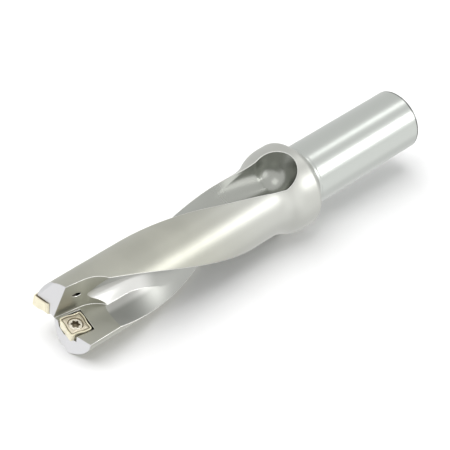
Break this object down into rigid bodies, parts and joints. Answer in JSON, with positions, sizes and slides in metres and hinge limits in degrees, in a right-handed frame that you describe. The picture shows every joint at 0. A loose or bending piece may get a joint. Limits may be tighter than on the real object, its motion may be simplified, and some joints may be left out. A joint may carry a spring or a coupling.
{
  "type": "indexable drill",
  "caption": "Indexable insert drill with a cylindrical shank, a bevelled collar, helical flutes and screwed-on square inserts for drilling flat-bottomed holes in metal.",
  "frame": {"origin": "centre of the shank's end face, on the drill's axis", "axes": "+Z along the drill's axis from the shank's end to the tip; +X along the central insert's rake face, outwards"},
  "size_m": [0.0352, 0.0352, 0.1786],
  "materials": {
    "tool_steel": "ground shank, satin body",
    "insert_coating": "satin pale gold hard coating on carbide",
    "screw_steel": "smooth hardened steel"
  },
  "bodies": {
    "root": {"drill_body": "tool_steel", "central_insert": "insert_coating", "peripheral_insert": "insert_coating", "central_insert_screw": "screw_steel", "peripheral_insert_screw": "screw_steel"}
  },
  "joints": []
}
